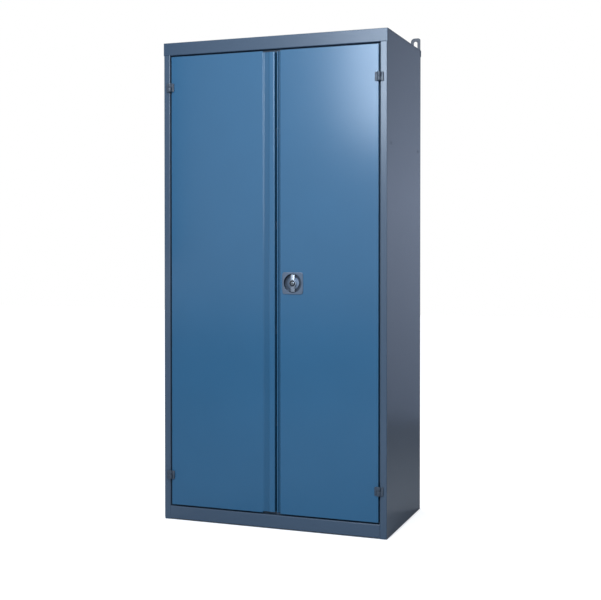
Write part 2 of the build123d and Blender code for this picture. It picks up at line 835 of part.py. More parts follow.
# Cam: disc with a square hole, two pins behind it for the rods and one in front of it for the side bolt. At
# rest they stand 45 degrees below or above level, and a quarter turn takes each to the other side of level.
with BuildPart() as lock_cam:
    with BuildSketch(facing_front(cam_rear_y)):
        Circle(cam_radius)
        Rectangle(spindle_square + 2 * square_play, spindle_square + 2 * square_play, mode=Mode.SUBTRACT)
    extrude(amount=cam_thickness)
    with BuildSketch(facing_front(cam_rear_y)):
        with Locations((-pin_offset, -pin_offset), (pin_offset, pin_offset)):
            Circle(cam_pin_radius)
    extrude(amount=cam_rear_y - rod_rear_y - pin_end_gap)
    with BuildSketch(facing_front(cam_front_y)):
        with Locations((pin_offset, -pin_offset)):
            Circle(cam_pin_radius)
    extrude(amount=cam_front_y - bolt_front_y - pin_end_gap)
finish(lock_cam.part, "lock_cam")

# Cam screw: low round head on the cam, shank through the spindle into the knob
with BuildPart() as cam_screw:
    with BuildSketch(facing_front(cam_rear_y)):
        Circle(cam_screw_head_radius)
    extrude(amount=-cam_screw_head_height)
    with BuildSketch(facing_front(cam_rear_y)):
        Circle(cam_screw_radius)
    extrude(amount=cam_rear_y - knob_rear_y + cam_screw_grip)
finish(cam_screw.part, "cam_screw")

# Key cylinder: flanged sleeve in the knob's boss, with a blind bore for the plug
with BuildPart() as key_cylinder:
    with BuildSketch(facing_front(grip_front_y)):
        Circle(cylinder_radius)
    extrude(amount=-cylinder_length)
    with BuildSketch(facing_front(grip_front_y)):
        Circle(cylinder_flange_radius)
    extrude(amount=cylinder_flange_height)
    with BuildSketch(facing_front(cylinder_front_y)):
        Circle(plug_radius + running_clearance)
    extrude(amount=-(plug_recess + plug_length + plug_end_play), mode=Mode.SUBTRACT)
finish(key_cylinder.part, "key_cylinder")

# Key plug: turns in the cylinder, with a keyway that stands at a slant while the lock is open
with BuildPart() as key_plug:
    with BuildSketch(facing_front(cylinder_front_y + plug_recess)):
        Circle(plug_radius)
    extrude(amount=-plug_length)
    with BuildSketch(facing_front(cylinder_front_y + plug_recess)):
        Rectangle(keyway_width, keyway_height, rotation=keyway_angle)
    extrude(amount=-keyway_depth, mode=Mode.SUBTRACT)
finish(key_plug.part, "key_plug")

# ---------------------------------------------------------------- lock, behind the door
# Side bolt: flat bar with a notch in its tail for the cam's front pin
with BuildPart() as side_bolt:
    bolt_tip_x = right_edge_x + bolt_tip_inset
    notch_x = lock_x + pin_offset
    block(
        (bolt_tip_x, notch_x + pin_slot + bolt_tail),
        (bolt_front_y, bolt_rear_y),
        (bolt_bottom_z, bolt_top_z),
    )
    chamfer(side_bolt.edges().filter_by(Axis.Z).group_by(Axis.X)[0], bolt_thickness / 4)
    notch_bottom_z = lock_z - pin_circle - pin_slot
    block(
        (notch_x - pin_slot, notch_x + pin_slot),
        (bolt_front_y, bolt_rear_y),
        (notch_bottom_z, bolt_top_z + 1),
        Mode.SUBTRACT,
    )
finish(side_bolt.part, "side_bolt")


# Rods: flat bars side by side behind the cam. Each foot has a level slot that its pin slides in, and each tip
# stops just short of the stop lip while the lock is open.
def lock_rod(direction, tip_z):
    """The upper rod has direction 1 and the lower rod -1."""
    near_x = lock_x - direction * rod_middle_gap
    far_x = near_x - direction * rod_width
    pin_z = lock_z - direction * pin_offset
    foot_z = pin_z - direction * (pin_slot + rod_foot)
    with BuildPart() as rod:
        block(sorted((near_x, far_x)), (rod_front_y, rod_rear_y), sorted((foot_z, tip_z)))
        tip_edges = rod.edges().filter_by(Axis.Y).group_by(Axis.Z)[-1 if direction > 0 else 0]
        chamfer(tip_edges, rod_tip_chamfer)
        block(
            sorted((
                lock_x - direction * (pin_circle + pin_slot),
                lock_x - direction * (pin_offset - pin_slot),
            )),
            (rod_front_y, rod_rear_y),
            (pin_z - pin_slot, pin_z + pin_slot),
            Mode.SUBTRACT,
        )
    return rod.part


finish(lock_rod(1, top_lip_z - rod_end_gap), "upper_rod")
finish(lock_rod(-1, bottom_lip_z + rod_end_gap), "lower_rod")

# Lock case: bridge folded over the mechanism, its feet on the door's skin, with a slot for the side bolt
with BuildPart() as lock_case:
    foot_y = skin_y + case_sheet
    section = folded_section(
        Plane.XY.offset(lock_z - case_half_height),
        [
            (lock_x - case_half_width - case_foot, foot_y),
            (lock_x - case_half_width, foot_y),
            (lock_x - case_half_width, case_rear_y),
            (lock_x + case_half_width, case_rear_y),
            (lock_x + case_half_width, foot_y),
            (lock_x + case_half_width + case_foot, foot_y),
        ],
        0,
        case_sheet,
        Side.RIGHT,
    )
    extrude(section, amount=2 * case_half_height)
    bolt_slot((lock_x - case_half_width - 1, lock_x - case_half_width + case_sheet + 1))
finish(lock_case.part, "lock_case")


# Rod guide: angle bracket on the door's skin, with a slot in its arm that the rod slides through
def rod_guide(direction, arm_z):
    """The foot points away from the lock: up for direction 1, down for -1."""
    rod_x = sorted((
        lock_x - direction * rod_middle_gap,
        lock_x - direction * (rod_middle_gap + rod_width),
    ))
    low_x = rod_x[0] - slide_play - guide_side
    high_x = rod_x[1] + slide_play + guide_side
    foot_y = skin_y + guide_sheet
    with BuildPart() as guide:
        section = folded_section(
            Plane.YZ.offset(low_x),
            [
                (foot_y, arm_z + direction * guide_height),
                (foot_y, arm_z),
                (rod_rear_y + guide_overhang, arm_z),
            ],
            door_bend,
            guide_sheet,
            Side.RIGHT if direction > 0 else Side.LEFT,
        )
        extrude(section, amount=high_x - low_x)
        block(
            (rod_x[0] - slide_play, rod_x[1] + slide_play),
            (rod_front_y - slide_play, rod_rear_y + slide_play),
            (arm_z - 2 * guide_sheet, arm_z + 2 * guide_sheet),
            Mode.SUBTRACT,
        )
    return guide.part


finish(rod_guide(1, door_top_z - guide_end_distance), "upper_rod_guide")
finish(rod_guide(-1, door_bottom_z + guide_end_distance), "lower_rod_guide")
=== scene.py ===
import math

import bmesh
import bpy
from mathutils import Matrix, Vector


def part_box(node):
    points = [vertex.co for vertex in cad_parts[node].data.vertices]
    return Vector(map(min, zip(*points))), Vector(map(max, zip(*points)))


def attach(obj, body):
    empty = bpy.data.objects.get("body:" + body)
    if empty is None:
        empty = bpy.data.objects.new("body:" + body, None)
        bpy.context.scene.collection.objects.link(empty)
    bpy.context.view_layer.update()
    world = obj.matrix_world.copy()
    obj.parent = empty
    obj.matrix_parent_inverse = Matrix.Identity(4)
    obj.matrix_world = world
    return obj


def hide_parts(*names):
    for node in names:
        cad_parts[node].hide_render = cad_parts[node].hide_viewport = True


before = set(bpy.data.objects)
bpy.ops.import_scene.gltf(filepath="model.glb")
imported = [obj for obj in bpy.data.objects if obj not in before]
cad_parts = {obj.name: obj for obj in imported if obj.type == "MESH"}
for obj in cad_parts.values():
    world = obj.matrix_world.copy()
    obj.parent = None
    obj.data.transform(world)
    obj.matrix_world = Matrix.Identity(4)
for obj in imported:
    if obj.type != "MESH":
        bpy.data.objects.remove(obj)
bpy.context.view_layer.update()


# ------------------------------------------------------------------ frame sheets
# The carcass is folded from 1.5 mm mild steel sheet, spot-welded, and sprayed with a slate grey powder coat.
# The coat cures with a fine orange-peel skin, and the large flat faces are never quite flat under it.
def new_finish(name):
    """An empty finish for a surface, with its nodes, its links and its shader."""
    finish = bpy.data.materials.new(name)
    finish.use_nodes = True
    nodes, links = finish.node_tree.nodes, finish.node_tree.links
    return finish, nodes, links, nodes["Principled BSDF"]


def own_place(nodes):
    """Where a point lies on the object."""
    return nodes.new("ShaderNodeTexCoord").outputs["Object"]


def own_axes(nodes, links):
    """Where a point lies along each of the object's three axes."""
    axes = nodes.new("ShaderNodeSeparateXYZ")
    links.new(own_place(nodes), axes.inputs["Vector"])
    return axes.outputs


def noise(nodes, links, place, size, detail):
    """Random clouds of about one size."""
    node = nodes.new("ShaderNodeTexNoise")
    node.inputs["Scale"].default_value = 1 / size
    node.inputs["Detail"].default_value = detail
    links.new(place, node.inputs["Vector"])
    return node.outputs["Fac"]


def blend(nodes, links, share, first, second):
    """A colour that goes from the first to the second with the share."""
    node = nodes.new("ShaderNodeMix")
    node.data_type = "RGBA"
    node.inputs["A"].default_value = (*first, 1)
    node.inputs["B"].default_value = (*second, 1)
    links.new(share, node.inputs["Factor"])
    return node.outputs["Result"]


def lighter(colour, share):
    """A colour made lighter by a share of itself, or darker where the share is negative."""
    return [c * (1 + share) for c in colour]


def spread_over(nodes, links, value, start=0, end=1, low=0, high=1):
    """Maps a value that runs from start to end onto low to high."""
    node = nodes.new("ShaderNodeMapRange")
    for label, number in (("From Min", start), ("From Max", end), ("To Min", low), ("To Max", high)):
        node.inputs[label].default_value = number
    links.new(value, node.inputs["Value"])
    return node.outputs["Result"]


def relief(nodes, links, height, depth, below=None):
    """A bump of the given depth, on top of the relief below where there is one."""
    node = nodes.new("ShaderNodeBump")
    node.inputs["Distance"].default_value = depth
    links.new(height, node.inputs["Height"])
    if below:
        links.new(below, node.inputs["Normal"])
    return node.outputs["Normal"]


def work_out(nodes, links, operation, value, other=None):
    """One step of arithmetic on a socket, with a number or with another socket."""
    node = nodes.new("ShaderNodeMath")
    node.operation = operation
    links.new(value, node.inputs[0])
    if isinstance(other, bpy.types.NodeSocket):
        links.new(other, node.inputs[1])
    elif other is not None:
        node.inputs[1].default_value = other
    return node.outputs[0]


def powder_coat(name, colour, roughness):
    """A sprayed and baked coat: fine skin, slow waves of the sheet below, and faint drifts of tone."""
    drift_size = 0.22
    drift_share = 0.05
    sheen_size = 0.05
    sheen_change = 0.02
    wave_size = 0.34
    wave_height = 0.0003
    skin_size = 0.0016
    skin_height = 0.000012
    coat, nodes, links, shader = new_finish(name)
    place = own_place(nodes)

    drifts = noise(nodes, links, place, drift_size, 3)
    tone = blend(nodes, links, drifts, lighter(colour, -drift_share), lighter(colour, drift_share))
    links.new(tone, shader.inputs["Base Color"])
    sheen = spread_over(
        nodes, links, noise(nodes, links, place, sheen_size, 4),
        low=roughness - sheen_change, high=roughness + sheen_change,
    )
    links.new(sheen, shader.inputs["Roughness"])
    waves = relief(nodes, links, noise(nodes, links, place, wave_size, 1), wave_height)
    skin = relief(nodes, links, noise(nodes, links, place, skin_size, 2), skin_height, below=waves)
    links.new(skin, shader.inputs["Normal"])
    return coat


def finish_nodes(material, *names):
    """Gives whole CAD nodes their final material."""
    for name in names:
        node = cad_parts[name]
        node.data.materials.clear()
        node.data.materials.append(material)


def shade_coat(coat, share):
    """Darkens a coat's colour and gloss, as painted shade, where the socket share is under 1."""
    full_gloss = 0.5
    nodes, links = coat.node_tree.nodes, coat.node_tree.links
    shader = nodes["Principled BSDF"]
    shaded = nodes.new("ShaderNodeMix")
    shaded.data_type = "RGBA"
    shaded.blend_type = "MULTIPLY"
    shaded.inputs["Factor"].default_value = 1
    links.new(shader.inputs["Base Color"].links[0].from_socket, shaded.inputs["A"])
    links.new(share, shaded.inputs["B"])
    links.new(shaded.outputs["Result"], shader.inputs["Base Color"])
    gloss = work_out(nodes, links, "MULTIPLY", share, full_gloss)
    links.new(gloss, shader.inputs["Specular IOR Level"])


slate_coat = powder_coat("slate_powder_coat", (0.053, 0.084, 0.126), 0.22)
# The coat is painted near black in the four link holes and a thin ring round each, as painted shade.
link_hole_height = 1.44
link_hole_middle_y = 0.004
link_hole_spacing = 0.4
painted_shade_radius = 0.0054
painted_shade_fade = 0.0004
painted_shade_level = 0.03
nodes, links = slate_coat.node_tree.nodes, slate_coat.node_tree.links
rim_axes = own_axes(nodes, links)
hole_side = work_out(nodes, links, "SUBTRACT", rim_axes["Y"], link_hole_middle_y)
from_middle = work_out(nodes, links, "ABSOLUTE", hole_side)
rim_offset = nodes.new("ShaderNodeCombineXYZ")
rim_y = work_out(nodes, links, "SUBTRACT", from_middle, link_hole_spacing / 2)
rim_z = work_out(nodes, links, "SUBTRACT", rim_axes["Z"], link_hole_height)
links.new(rim_y, rim_offset.inputs["Y"])
links.new(rim_z, rim_offset.inputs["Z"])
rim_distance = nodes.new("ShaderNodeVectorMath")
rim_distance.operation = "LENGTH"
links.new(rim_offset.outputs["Vector"], rim_distance.inputs[0])
painted_hole_shade = spread_over(
    nodes, links, rim_distance.outputs["Value"],
    start=painted_shade_radius - painted_shade_fade, end=painted_shade_radius + painted_shade_fade, low=painted_shade_level,
)
shade_coat(slate_coat, painted_hole_shade)
finish_nodes(slate_coat, "left_side_panel", "right_side_panel", "back_panel", "bottom_rail", "floor_panel")

# ------------------------------------------------------------------ top cap
# The roof and its flanges are one folded sheet. It hangs flat on the coating line, so its coat flows out a
# little duller than on the upright sheets. Its colour is the carcass's slate painted darker, as painted
# shade.
cap_gloss = 0.42
shaded_cap_coat = powder_coat("cap_powder_coat", (0.041, 0.070, 0.110), 0.25)
shaded_cap_coat.node_tree.nodes["Principled BSDF"].inputs["Specular IOR Level"].default_value = cap_gloss
finish_nodes(shaded_cap_coat, "top_cap")

# ------------------------------------------------------------------ wall lugs
# Flat straps of 3 mm steel, punched with a slotted eye, welded to the back of the carcass and left dull, with
# only a thin coat. The press leaves their edges a little rounded.
def made_plain(piece):
    """Turns what a piece's modifiers make into its own plain mesh."""
    evaluated = piece.evaluated_get(bpy.context.evaluated_depsgraph_get())
    mesh = bpy.data.meshes.new_from_object(evaluated)
    piece.modifiers.clear()
    piece.data = mesh
    mesh.name = piece.name
    return piece


crease_angle = math.radians(32)


def in_scene(name, data):
    """A new object of some data, standing in the scene."""
    thing = bpy.data.objects.new(name, data)
    bpy.context.scene.collection.objects.link(thing)
    return thing


def mesh_of(form, name):
    """Ends a mesh in the making."""
    mesh = bpy.data.meshes.new(name)
    form.to_mesh(mesh)
    form.free()
    return mesh


def smooth_faces(mesh, keep_creases=True):
    """Shades a mesh as smooth, with its creases kept sharp."""
    mesh.polygons.foreach_set("use_smooth", [True] * len(mesh.polygons))
    if keep_creases:
        mesh.set_sharp_from_angle(angle=crease_angle)


def round_edges(piece, radius):
    """Rounds over every edge of a piece that is sharper than its curves."""
    edges = piece.modifiers.new("rounded_edges", "BEVEL")
    edges.width = radius
    edges.segments = 3
    edges.limit_method = "ANGLE"
    edges.angle_limit = crease_angle
    edges.harden_normals = True


def new_piece(form, name, material, rounding=0, second_finish=None):
    """Makes a piece of a mesh in the making, and rounds its edges over where a radius is given."""
    mesh = mesh_of(form, name)
    mesh.materials.append(material)
    if second_finish:
        mesh.materials.append(second_finish)
    smooth_faces(mesh, keep_creases=not rounding)
    piece = in_scene(name, mesh)
    if rounding:
        round_edges(piece, rounding)
    else:
        even = piece.modifiers.new("even_shading", "WEIGHTED_NORMAL")
        even.keep_sharp = True
    return made_plain(piece)


def softened(node, body, material, rounding):
    """A piece in place of a CAD node, of the same shape but with its edges rounded over."""
    same_point = 0.000002
    flat_angle = math.radians(0.5)
    form = bmesh.new()
    form.from_mesh(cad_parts[node].data)
    bmesh.ops.remove_doubles(form, verts=form.verts, dist=same_point)
    bmesh.ops.dissolve_limit(form, angle_limit=flat_angle, verts=form.verts, edges=form.edges)
    piece = new_piece(form, f"{node}_metal", material, rounding)
    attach(piece, body)
    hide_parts(node)
    return piece


strap_rounding = 0.0005
lug_coat = powder_coat("dull_lug_coat", (0.062, 0.070, 0.088), 0.55)
for side in ("left", "right"):
    softened(f"{side}_wall_lug", "frame", lug_coat, strap_rounding)

# ------------------------------------------------------------------ shelf uprights
# Channels folded from steel sheet, with a ladder of punched slots for the shelf clips. They are spot-welded
# to the side walls before the carcass is coated, so they take its colour.
for side in ("left", "right"):
    finish_nodes(slate_coat, f"{side}_front_upright", f"{side}_rear_upright")


# ------------------------------------------------------------------ shelves
# Trays folded from zinc-coated sheet, turned upside down on their clips. The zinc has frozen in large dull
# crystals.
def zinc_plate(name, crystal_size, roughness):
    """Zinc on steel: crystals that each catch the light a little differently, under fine handling scuffs."""
    dark_zinc, light_zinc = (0.46, 0.48, 0.50), (0.58, 0.60, 0.61)
    sheen_change = 0.08
    scuff_size = 0.03
    scuff_depth = 0.00001
    sum_end = 2
    zinc, nodes, links, shader = new_finish(name)
    shader.inputs["Metallic"].default_value = 1
    place = own_place(nodes)
    crystals = nodes.new("ShaderNodeTexVoronoi")
    crystals.inputs["Scale"].default_value = 1 / crystal_size
    links.new(place, crystals.inputs["Vector"])
    grey = nodes.new("ShaderNodeSeparateColor")
    links.new(crystals.outputs["Color"], grey.inputs["Color"])

    tone = blend(nodes, links, grey.outputs["Red"], dark_zinc, light_zinc)
    links.new(tone, shader.inputs["Base Color"])
    scuffs = noise(nodes, links, place, scuff_size, 5)
    sheen = spread_over(
        nodes, links, work_out(nodes, links, "ADD", grey.outputs["Green"], scuffs),
        end=sum_end, low=roughness - sheen_change, high=roughness + sheen_change,
    )
    links.new(sheen, shader.inputs["Roughness"])
    links.new(relief(nodes, links, scuffs, scuff_depth), shader.inputs["Normal"])
    return zinc


shelf_zinc = zinc_plate("shelf_zinc", 0.012, 0.42)
finish_nodes(shelf_zinc, "shelf_1", "shelf_2", "shelf_3", "shelf_4")

# ------------------------------------------------------------------ shelf clips
# Strips of 1.5 mm zinc-plated steel, bent to a ledge with a tongue that hooks through a slot of the upright.
# Four carry each shelf.
clip_thickness = 0.0015
clip_width = 0.012
clip_bend = 0.0016
clip_ledge = 0.014
clip_play = 0.0004
clip_drop = 0.020
ledge_drop = clip_drop + clip_thickness / 2
clip_rise = 0.005
clip_rounding = 0.0002
upright_sheet = 0.0015
slot_half_height = 0.002
hook_length = 0.005
clip_rows = (-0.170, 0.180)
clip_levels = (0.400, 0.750, 1.150, 1.500)

upright_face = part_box("right_front_upright")[0][0]
clip_plate = upright_face - clip_thickness / 2
hook_place = upright_face + upright_sheet + clip_play + clip_thickness / 2
ledge_tip = upright_face - clip_thickness - clip_ledge
tongue_rise = slot_half_height - clip_play - clip_thickness / 2
hook_drop = hook_length - (slot_half_height - clip_play)

strip_path = bpy.data.meshes.new("clip_strip_path")
strip_path.from_pydata(
    [
        (ledge_tip, 0, -ledge_drop), (clip_plate, 0, -ledge_drop), (clip_plate, 0, clip_rise),
        (clip_plate, 0, tongue_rise), (hook_place, 0, tongue_rise), (hook_place, 0, -hook_drop),
    ],
    [(0, 1), (1, 2), (3, 4), (4, 5)],
    [],
)
strip_guide = in_scene("clip_strip_path", strip_path)


def new_tree(name, **sizes):
    """A node tree that sets a unit out on points, with named inputs, and the identifiers of those inputs."""
    tree = bpy.data.node_groups.new(name, "GeometryNodeTree")
    tree.interface.new_socket("Geometry", in_out="OUTPUT", socket_type="NodeSocketGeometry")
    tree.interface.new_socket("Points", in_out="INPUT", socket_type="NodeSocketGeometry")
    inputs = {
        label: tree.interface.new_socket(label.replace("_", " "), in_out="INPUT", socket_type=kind).identifier
        for label, kind in sizes.items()
    }
    return tree, inputs


def on_points(tree, given, unit, material_label):
    """Ends a tree: the unit stands on every point, turned as the point says, and takes its material."""
    nodes, links = tree.nodes, tree.links
    turn = nodes.new("GeometryNodeInputNamedAttribute")
    turn.data_type = "FLOAT_VECTOR"
    turn.inputs["Name"].default_value = "turn"
    stood = nodes.new("GeometryNodeInstanceOnPoints")
    links.new(given.outputs["Points"], stood.inputs["Points"])
    links.new(unit, stood.inputs["Instance"])
    links.new(turn.outputs["Attribute"], stood.inputs["Rotation"])
    solid = nodes.new("GeometryNodeRealizeInstances")
    links.new(stood.outputs["Instances"], solid.inputs["Geometry"])
    finished = nodes.new("GeometryNodeSetMaterial")
    links.new(solid.outputs["Geometry"], finished.inputs["Geometry"])
    links.new(given.outputs[material_label], finished.inputs["Material"])
    result = nodes.new("NodeGroupOutput")
    links.new(finished.outputs["Geometry"], result.inputs["Geometry"])


def set_out(name, places, turn, tree, inputs, rounding=0):
    """Runs a tree on points that are turned alike or each by its own turn, and keeps the result as a mesh."""
    points = bpy.data.meshes.new(name)
    points.from_pydata(places, [], [])
    turns = turn if isinstance(turn, list) else [turn] * len(places)
    for spot, turned_by in zip(points.attributes.new("turn", "FLOAT_VECTOR", "POINT").data, turns):
        spot.vector = turned_by
    piece = in_scene(name, points)
    maker = piece.modifiers.new("maker", "NODES")
    maker.node_group = tree
    for identifier, value in inputs.items():
        maker[identifier] = value
    if rounding:
        round_edges(piece, rounding)
    made_plain(piece)
    smooth_faces(piece.data, keep_creases=not rounding)
    return piece


clip_tree, clip_inputs = new_tree(
    "bent_strip_clips",
    Strip_path="NodeSocketObject",
    Strip_width="NodeSocketFloat",
    Strip_thickness="NodeSocketFloat",
    Bend_radius="NodeSocketFloat",
    Zinc="NodeSocketMaterial",
)
nodes, links = clip_tree.nodes, clip_tree.links
given = nodes.new("NodeGroupInput")
guide = nodes.new("GeometryNodeObjectInfo")
links.new(given.outputs["Strip path"], guide.inputs["Object"])
path = nodes.new("GeometryNodeMeshToCurve")
links.new(guide.outputs["Geometry"], path.inputs["Mesh"])
bends = nodes.new("GeometryNodeFilletCurve")
bends.mode = "POLY"
bends.inputs["Count"].default_value = 4
links.new(path.outputs["Curve"], bends.inputs["Curve"])
links.new(given.outputs["Bend radius"], bends.inputs["Radius"])
section = nodes.new("GeometryNodeCurvePrimitiveQuadrilateral")
links.new(given.outputs["Strip width"], section.inputs["Width"])
links.new(given.outputs["Strip thickness"], section.inputs["Height"])
strip = nodes.new("GeometryNodeCurveToMesh")
strip.inputs["Fill Caps"].default_value = True
links.new(bends.outputs["Curve"], strip.inputs["Curve"])
links.new(section.outputs["Curve"], strip.inputs["Profile Curve"])
on_points(clip_tree, given, strip.outputs["Mesh"], "Zinc")

clip_places = [(0, row, level) for level in clip_levels for row in clip_rows for side in ("right", "left")]
shelf_clips = set_out(
    "shelf_clip_strips", clip_places, [(0, 0, 0), (0, 0, math.pi)] * (len(clip_places) // 2), clip_tree,
    {
        clip_inputs["Strip_path"]: strip_guide,
        clip_inputs["Strip_width"]: clip_width,
        clip_inputs["Strip_thickness"]: clip_thickness,
        clip_inputs["Bend_radius"]: clip_bend,
        clip_inputs["Zinc"]: shelf_zinc,
    },
    rounding=clip_rounding,
)
bpy.data.objects.remove(strip_guide)
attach(shelf_clips, "frame")
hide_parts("shelf_clips")

# ------------------------------------------------------------------ doors
# Each door is one folded tray of 1.2 mm sheet with pressed grooves beside the meeting edge, stiffened by a
# hat section behind, and sprayed blue.
blue_coat = powder_coat("blue_powder_coat", (0.026, 0.108, 0.205), 0.19)
# The coat is painted deeper and duller in the pressed grooves and on the narrow strip beside them, as painted
# shade. Each row is a place across the doors and the share of colour and gloss that the coat keeps there.
painted_groove_shading = [
    (-0.0330, 1.0), (-0.0285, 0.84), (-0.0120, 0.84), (-0.0080, 1.0), (0.0205, 1.0),
    (0.0220, 0.84), (0.0262, 0.84), (0.0275, 0.64), (0.0350, 0.64), (0.0368, 1.0),
]
shades_start, shades_end = painted_groove_shading[0][0], painted_groove_shading[-1][0]
nodes, links = blue_coat.node_tree.nodes, blue_coat.node_tree.links
across = spread_over(nodes, links, own_axes(nodes, links)["X"], start=shades_start, end=shades_end)
painted_groove_shade = nodes.new("ShaderNodeValToRGB")
stops = painted_groove_shade.color_ramp.elements
for x, _ in painted_groove_shading[1:-1]:
    stops.new((x - shades_start) / (shades_end - shades_start))
for stop, (x, share) in zip(stops, painted_groove_shading):
    stop.color = (share, share, share, 1)
links.new(across, painted_groove_shade.inputs["Fac"])
shade_coat(blue_coat, painted_groove_shade.outputs["Color"])
finish_nodes(blue_coat, "left_door_panel", "right_door_panel")
stiffener_rounding = 0.0005
for side in ("left", "right"):
    softened(f"{side}_door_stiffener", f"{side}_door", blue_coat, stiffener_rounding)


# ------------------------------------------------------------------ weld marks
# The sheets are joined by rows of spot welds. Each leaves a shallow dimple with a raised lip under the coat,
# on the feet of the door stiffeners and down both edges of the back.
def turned(form, spin, profile, steps=48):
    """Adds a closed turned shape to a mesh. The profile is radius and place along the axis."""
    rings = []
    for radius, along in profile:
        angles = [2 * math.pi * i / steps for i in range(steps)] if radius else [0]
        rings.append([
            form.verts.new(spin(radius * math.cos(a), radius * math.sin(a), along)) for a in angles
        ])
    added = []
    for near, far in zip(rings, rings[1:]):
        for i in range(steps):
            j = (i + 1) % steps
            corners = [near[i % len(near)], near[j % len(near)], far[j % len(far)], far[i % len(far)]]
            added.append(form.faces.new(list(dict.fromkeys(corners))))
    bmesh.ops.recalc_face_normals(form, faces=added)


weld_pitch = 0.075
weld_lip = [
    (0, -0.0003), (0.0032, -0.0003), (0.0032, 0), (0.0026, 0.00022), (0.0018, 0.00016), (0.0012, 0.00003),
    (0, 0.00002),
]
weld_form = bmesh.new()
turned(weld_form, lambda x, z, along: (x, along, z), weld_lip, steps=12)
weld_mark = new_piece(weld_form, "weld_mark", slate_coat)

row_tree, row_inputs = new_tree(
    "rows_of_weld_marks",
    Mark="NodeSocketObject", Pitch="NodeSocketFloat", Marks_in_a_row="NodeSocketInt",
    Coat="NodeSocketMaterial",
)
nodes, links = row_tree.nodes, row_tree.links
given = nodes.new("NodeGroupInput")
step = nodes.new("ShaderNodeCombineXYZ")
links.new(given.outputs["Pitch"], step.inputs["Z"])
row = nodes.new("GeometryNodeMeshLine")
links.new(given.outputs["Marks in a row"], row.inputs["Count"])
links.new(step.outputs["Vector"], row.inputs["Offset"])
unit = nodes.new("GeometryNodeObjectInfo")
links.new(given.outputs["Mark"], unit.inputs["Object"])
marks = nodes.new("GeometryNodeInstanceOnPoints")
links.new(row.outputs["Mesh"], marks.inputs["Points"])
links.new(unit.outputs["Geometry"], marks.inputs["Instance"])
on_points(row_tree, given, marks.outputs["Instances"], "Coat")


def weld_row(name, places, marks_in_a_row, coat, body):
    """Upright rows of weld marks, each beginning at its lowest mark."""
    rows = set_out(
        name, places, (0, 0, 0), row_tree,
        {
            row_inputs["Mark"]: weld_mark,
            row_inputs["Pitch"]: weld_pitch,
            row_inputs["Marks_in_a_row"]: marks_in_a_row,
            row_inputs["Coat"]: coat,
        },
    )
    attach(rows, body)


door_sheet = 0.0012
foot_middle = 0.010
stiffener_row_rise = 0.018
for side in ("left", "right"):
    stiffener_low, stiffener_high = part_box(f"{side}_door_stiffener")
    foot_back = stiffener_low[1] + door_sheet
    row_bottom = stiffener_low[2] + stiffener_row_rise
    weld_row(
        f"{side}_stiffener_weld_marks",
        [
            (stiffener_low[0] + foot_middle, foot_back, row_bottom),
            (stiffener_high[0] - foot_middle, foot_back, row_bottom),
        ],
        int((stiffener_high[2] - row_bottom) / weld_pitch) + 1, blue_coat, f"{side}_door",
    )
back_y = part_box("right_side_panel")[1][1]
back_row_x = 0.438
back_row_bottom = 0.060
back_row_marks = 22
weld_row(
    "back_weld_marks", [(x, back_y, back_row_bottom) for x in (-back_row_x, back_row_x)],
    back_row_marks, slate_coat, "frame",
)
bpy.data.objects.remove(weld_mark)

# ------------------------------------------------------------------ door buffers
# Small pads of black rubber, cut from sheet and glued to the stop lips, four along the top and four along the
# bottom.
rubber_grain_size = 0.0004
rubber_grain_depth = 0.00003
buffer_rubber, nodes, links, rubber_shader = new_finish("buffer_rubber")
rubber_shader.inputs["Roughness"].default_value = 0.7
rubber_grain = noise(nodes, links, own_place(nodes), rubber_grain_size, 3)
rubber_tone = blend(nodes, links, rubber_grain, (0.009, 0.009, 0.010), (0.017, 0.017, 0.018))
links.new(rubber_tone, rubber_shader.inputs["Base Color"])
links.new(relief(nodes, links, rubber_grain, rubber_grain_depth), rubber_shader.inputs["Normal"])

pad_side = 0.009
pad_corner = 0.0015
pad_rounding = 0.0003
inner_pad_x = 0.090
same_corner = 0.000001
pad_low, pad_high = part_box("door_buffers")

pad_tree, pad_inputs = new_tree(
    "rubber_pads",
    Pad_side="NodeSocketFloat", Corner_radius="NodeSocketFloat", Pad_thickness="NodeSocketFloat",
    Rubber="NodeSocketMaterial",
)


def raised_plate(tree, outline, thickness):
    """Fills a flat outline and raises it to a closed plate."""
    nodes, links = tree.nodes, tree.links
    face = nodes.new("GeometryNodeFillCurve")
    face.mode = "NGONS"
    links.new(outline, face.inputs["Curve"])
    raised = nodes.new("GeometryNodeExtrudeMesh")
    raised.inputs["Individual"].default_value = False
    links.new(face.outputs["Mesh"], raised.inputs["Mesh"])
    links.new(thickness, raised.inputs["Offset Scale"])
    under = nodes.new("GeometryNodeFlipFaces")
    links.new(face.outputs["Mesh"], under.inputs["Mesh"])
    whole = nodes.new("GeometryNodeJoinGeometry")
    links.new(under.outputs["Mesh"], whole.inputs["Geometry"])
    links.new(raised.outputs["Mesh"], whole.inputs["Geometry"])
    closed = nodes.new("GeometryNodeMergeByDistance")
    closed.inputs["Distance"].default_value = same_corner
    links.new(whole.outputs["Geometry"], closed.inputs["Geometry"])
    return closed.outputs["Geometry"]


nodes, links = pad_tree.nodes, pad_tree.links
given = nodes.new("NodeGroupInput")
square = nodes.new("GeometryNodeCurvePrimitiveQuadrilateral")
links.new(given.outputs["Pad side"], square.inputs["Width"])
links.new(given.outputs["Pad side"], square.inputs["Height"])
corners = nodes.new("GeometryNodeFilletCurve")
corners.mode = "POLY"
corners.inputs["Count"].default_value = 4
links.new(square.outputs["Curve"], corners.inputs["Curve"])
links.new(given.outputs["Corner radius"], corners.inputs["Radius"])
pad = raised_plate(pad_tree, corners.outputs["Curve"], given.outputs["Pad thickness"])
on_points(pad_tree, given, pad, "Rubber")

